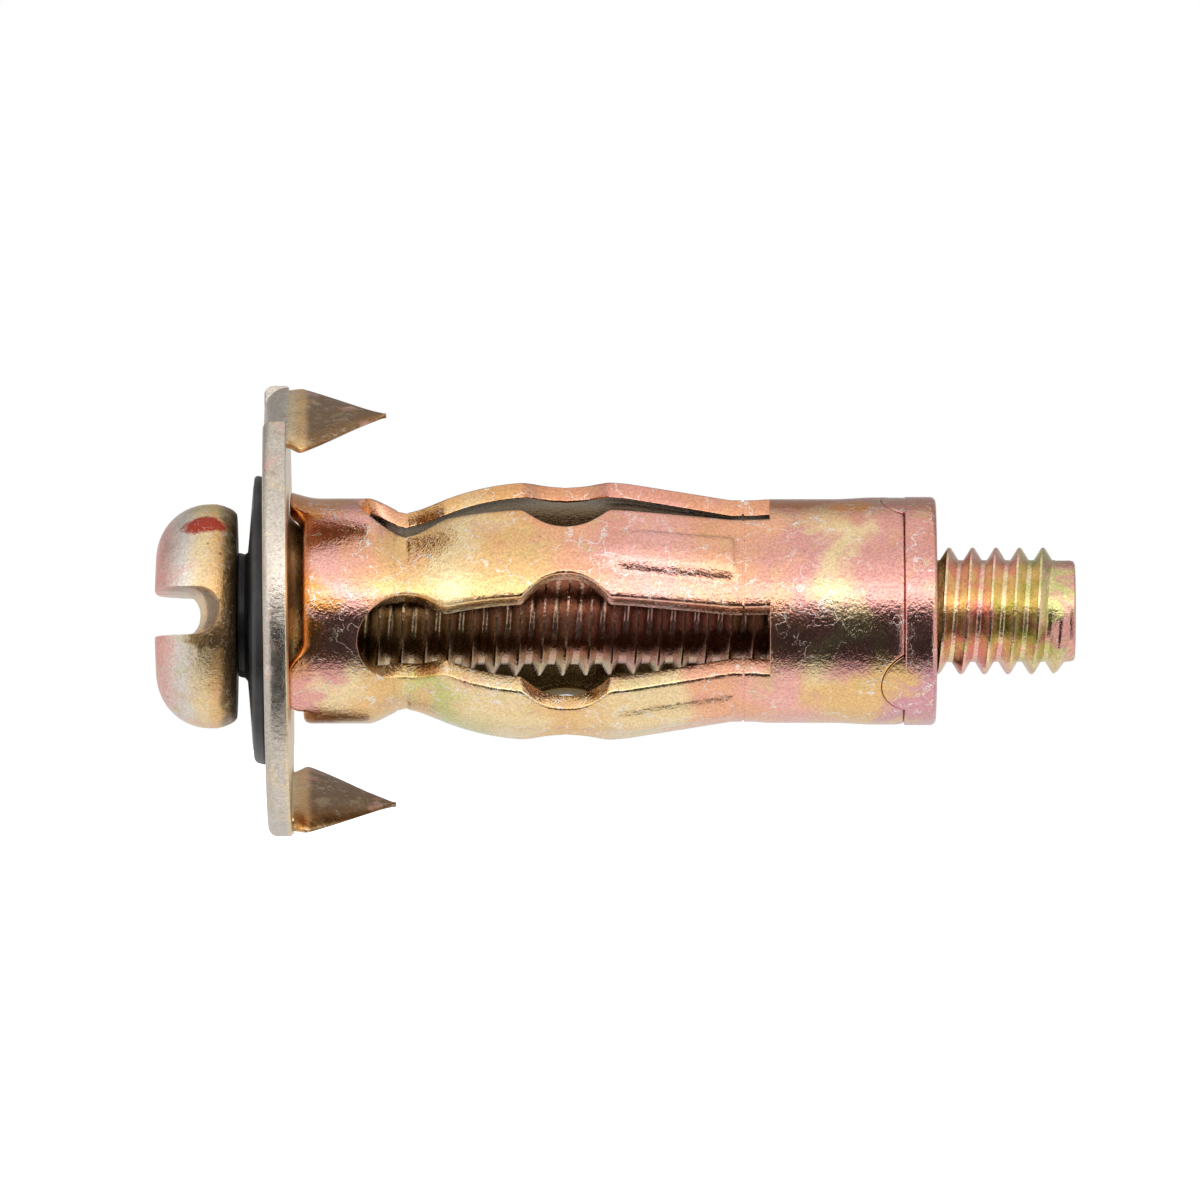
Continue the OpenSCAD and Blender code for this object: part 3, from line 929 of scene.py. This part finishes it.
def makeWasher():
    w, front = washer, screw["underHead"] + 0.02
    rimFront = w["back"] - w["rimThick"]
    c = w["rimRound"]
    outline = [(w["boreRadius"], front + 0.04), (w["boreRadius"] + 0.04, front),
               (w["hubRadius"] - 0.05, front), (w["hubRadius"], front + 0.05),
               (w["hubRadius"], front + w["hubLength"] - 0.08),
               (w["hubRadius"] + 0.08, front + w["hubLength"])]
    outline += [(between(w["hubRadius"], w["coneRadius"], t), between(front + w["hubLength"], rimFront, t))
                for t in (0.25, 0.5, 0.75)]
    outline += [(w["coneRadius"] - 0.05, rimFront - 0.005), (w["coneRadius"] + 0.02, rimFront + 0.01)]
    outline += arcSteps(w["rimRadius"] - c, rimFront + 0.02 + c, c, -75, 0, 5)
    outline += arcSteps(w["rimRadius"] - 0.06, w["back"] - 0.06, 0.06, 0, 90, 3)
    outline += [(3.0, w["back"]), (w["boreRadius"] + 0.04, w["back"]), (w["boreRadius"], w["back"] - 0.04)]
    bm = bmesh.new()
    rows = []
    for k in range(128):
        row = []
        for r, x in outline:
            drop = between(w["sagFront"], w["sagBack"], (x - front) / (w["back"] - front))
            row.append((fromAxis(x, r, 360 * k / 128) - Vector((0, 0, drop))) * mm)
        rows.append(row)
    addLoft(bm, rows, closed=True)
    return finishMesh(bm, "washer")


washerPiece = makeWasher()
dress(washerPiece, blackPlastic, "washer")
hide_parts("retaining_washer")
print("washer made")

# the nut in the rear collar
nut = {
    "ringRadius": 3.405, "ringLength": 0.97, "ringGap": 0.015, "ringRound": 0.17,
    "bodyRadius": 2.82, "bodyStart": 15.2, "boreRadius": 1.93, "lugRadius": 1.18,
}


def makeNut():
    n = nut
    x0, x1, c = plan["sleeveEnd"] + n["ringGap"], plan["sleeveEnd"] + n["ringLength"], n["ringRound"]
    outline = [(n["boreRadius"], n["bodyStart"] + 0.15), (n["boreRadius"] + 0.15, n["bodyStart"]),
               (n["bodyRadius"] - 0.12, n["bodyStart"]), (n["bodyRadius"], n["bodyStart"] + 0.12),
               (n["bodyRadius"], x0)]
    outline += arcSteps(n["ringRadius"] - 0.06, x0 + 0.06, 0.06, -90, 0, 3)
    outline += arcSteps(n["ringRadius"] - c, x1 - c, c, 0, 90, 6)
    outline += [(2.6, x1), (n["boreRadius"] + 0.30, x1), (n["boreRadius"] + 0.04, x1 - 0.26),
                (n["boreRadius"], x1 - 0.34)]
    bm = bmesh.new()
    addLoft(bm, [[fromAxis(x, r, 360 * k / 128) * mm for r, x in outline] for k in range(128)],
            closed=True)
    side = math.sqrt(n["lugRadius"] ** 2 - plan["lugOff"] ** 2)
    widest = math.degrees(math.asin(side / sleeve["rearRadius"])) - 0.1

    def lugFront(roll):
        return plan["sleeveEnd"] + 0.02 - lugNotch(roll, n["lugRadius"]) - 0.06

    for lugRoll in threeRolls:
        rolls = [lugRoll + widest * math.sin(math.radians(a)) for a in range(-90, 91, 6)]
        rows = ringRows(rolls, lugFront, lambda roll: plan["sleeveEnd"] + 0.14,
                        lambda x, roll: sleeve["rearRadius"] + 0.045, 0.52, 0.035, 0.02, 10)
        addLoft(bm, rows)
    return finishMesh(bm, "nut_body")


nutPiece = makeNut()
dress(nutPiece, sleeveZinc, "nut_end")
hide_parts("nut")
print("nut made")

# floor, light and camera
studio = {
    "floorDrop": 0.35, "floorSize": 0.8, "floorTone": 0.93, "floorGlow": 0.72,
    "cameraDistance": 550.0, "frameWidth": 35.82, "aimX": 9.254, "aimZ": 0.328,
    "surround": 0.85, "softTop": 0.95, "softFront": 1.2, "hotFront": 2.4, "darkFront": 0.045,
    "darkBack": 0.40, "below": 1.0, "backdrop": 0.75,
}


def makeFloor():
    lowest = boundsAtLoad[0].z - studio["floorDrop"] * mm
    half = studio["floorSize"] / 2
    mesh = bpy.data.meshes.new("floor")
    mesh.from_pydata([(-half, -half, lowest), (half, -half, lowest), (half, half, lowest),
                      (-half, half, lowest)], [], [(0, 1, 2, 3)])
    floor = bpy.data.objects.new("floor", mesh)
    bpy.context.scene.collection.objects.link(floor)
    material = bpy.data.materials.new("paleFloor")
    add = nodeMaker(material)
    tone = studio["floorTone"]
    glow = add("ShaderNodeEmission", {"Color": (tone, tone, tone, 1), "Strength": studio["floorGlow"]})
    paper = add("ShaderNodeBsdfDiffuse", {"Color": (tone, tone, tone, 1)})
    both = add("ShaderNodeAddShader", {0: glow.outputs[0], 1: paper.outputs[0]})
    add("ShaderNodeOutputMaterial", {"Surface": both.outputs[0]})
    mesh.materials.append(material)
    floor.visible_glossy = False


def makeWorld():
    world = bpy.data.worlds.new("studioWorld")
    bpy.context.scene.world = world
    add = nodeMaker(world)
    way = add("ShaderNodeTexCoord").outputs["Generated"]
    split = add("ShaderNodeSeparateXYZ", {0: way})

    def both(a, b):
        return add("ShaderNodeMath", {0: a, 1: b}, operation="MULTIPLY").outputs[0]

    def window(value, low, high, soft):
        # one between low and high, with soft edges
        rise = add("ShaderNodeMapRange", {"Value": value, "From Min": low - soft, "From Max": low + soft},
                   interpolation_type="SMOOTHSTEP")
        fall = add("ShaderNodeMapRange", {"Value": value, "From Min": high - soft, "From Max": high + soft,
                                          "To Min": 1.0, "To Max": 0.0}, interpolation_type="SMOOTHSTEP")
        return both(rise.outputs[0], fall.outputs[0])

    side, height, depth = split.outputs["X"], split.outputs["Z"], split.outputs["Y"]
    behind = window(depth, 0.28, 1.2, 0.22)
    front = window(depth, -1.2, -0.35, 0.12)
    softFront = both(front, window(height, 0.16, 0.80, 0.10))
    darkFront = both(window(depth, -1.2, -0.30, 0.20), window(height, -0.86, 0.08, 0.05))
    darkFront = both(darkFront, window(side, -0.42, 0.42, 0.12))
    top = window(height, 0.90, 1.2, 0.08)

    def lighter(base, mask, tone):
        return add("ShaderNodeMix", {"Factor": mask, "A": base, "B": (tone, tone, tone, 1)},
                   data_type="RGBA").outputs["Result"]

    s = studio
    base = add("ShaderNodeRGB")
    base.outputs[0].default_value = (s["surround"],) * 3 + (1,)
    tone = lighter(base.outputs[0], top, s["softTop"])
    tone = lighter(tone, window(height, -1.2, -0.80, 0.08), s["below"])
    tone = lighter(tone, both(behind, window(height, 0.16, 0.84, 0.10)), s["darkBack"])
    tone = lighter(tone, both(behind, window(height, -0.25, 0.16, 0.10)), s["backdrop"])
    tone = lighter(tone, softFront, s["softFront"])
    tone = lighter(tone, both(front, window(height, 0.17, 0.42, 0.07)), s["hotFront"])
    tone = lighter(tone, darkFront, s["darkFront"])
    rays = add("ShaderNodeLightPath")
    seen = add("ShaderNodeMix", {"Factor": rays.outputs["Is Camera Ray"], "A": tone, "B": (1, 1, 1, 1)},
               data_type="RGBA")
    back = add("ShaderNodeBackground", {"Color": seen.outputs["Result"], "Strength": 1.0})
    add("ShaderNodeOutputWorld", {"Surface": back.outputs[0]})


def makeCamera():
    s = studio
    data = bpy.data.cameras.new("camera")
    data.sensor_width = 36
    data.lens = data.sensor_width / 2 / (s["frameWidth"] / 2 / s["cameraDistance"])
    data.clip_start, data.clip_end = 0.01, 10
    camera = bpy.data.objects.new("camera", data)
    camera.location = (s["aimX"] * mm, -s["cameraDistance"] * mm, s["aimZ"] * mm)
    camera.rotation_euler = (math.radians(90), 0, 0)
    bpy.context.scene.collection.objects.link(camera)
    bpy.context.scene.camera = camera


makeFloor()
makeWorld()
makeCamera()
bpy.context.scene.view_settings.view_transform = "Standard"
print("studio made")
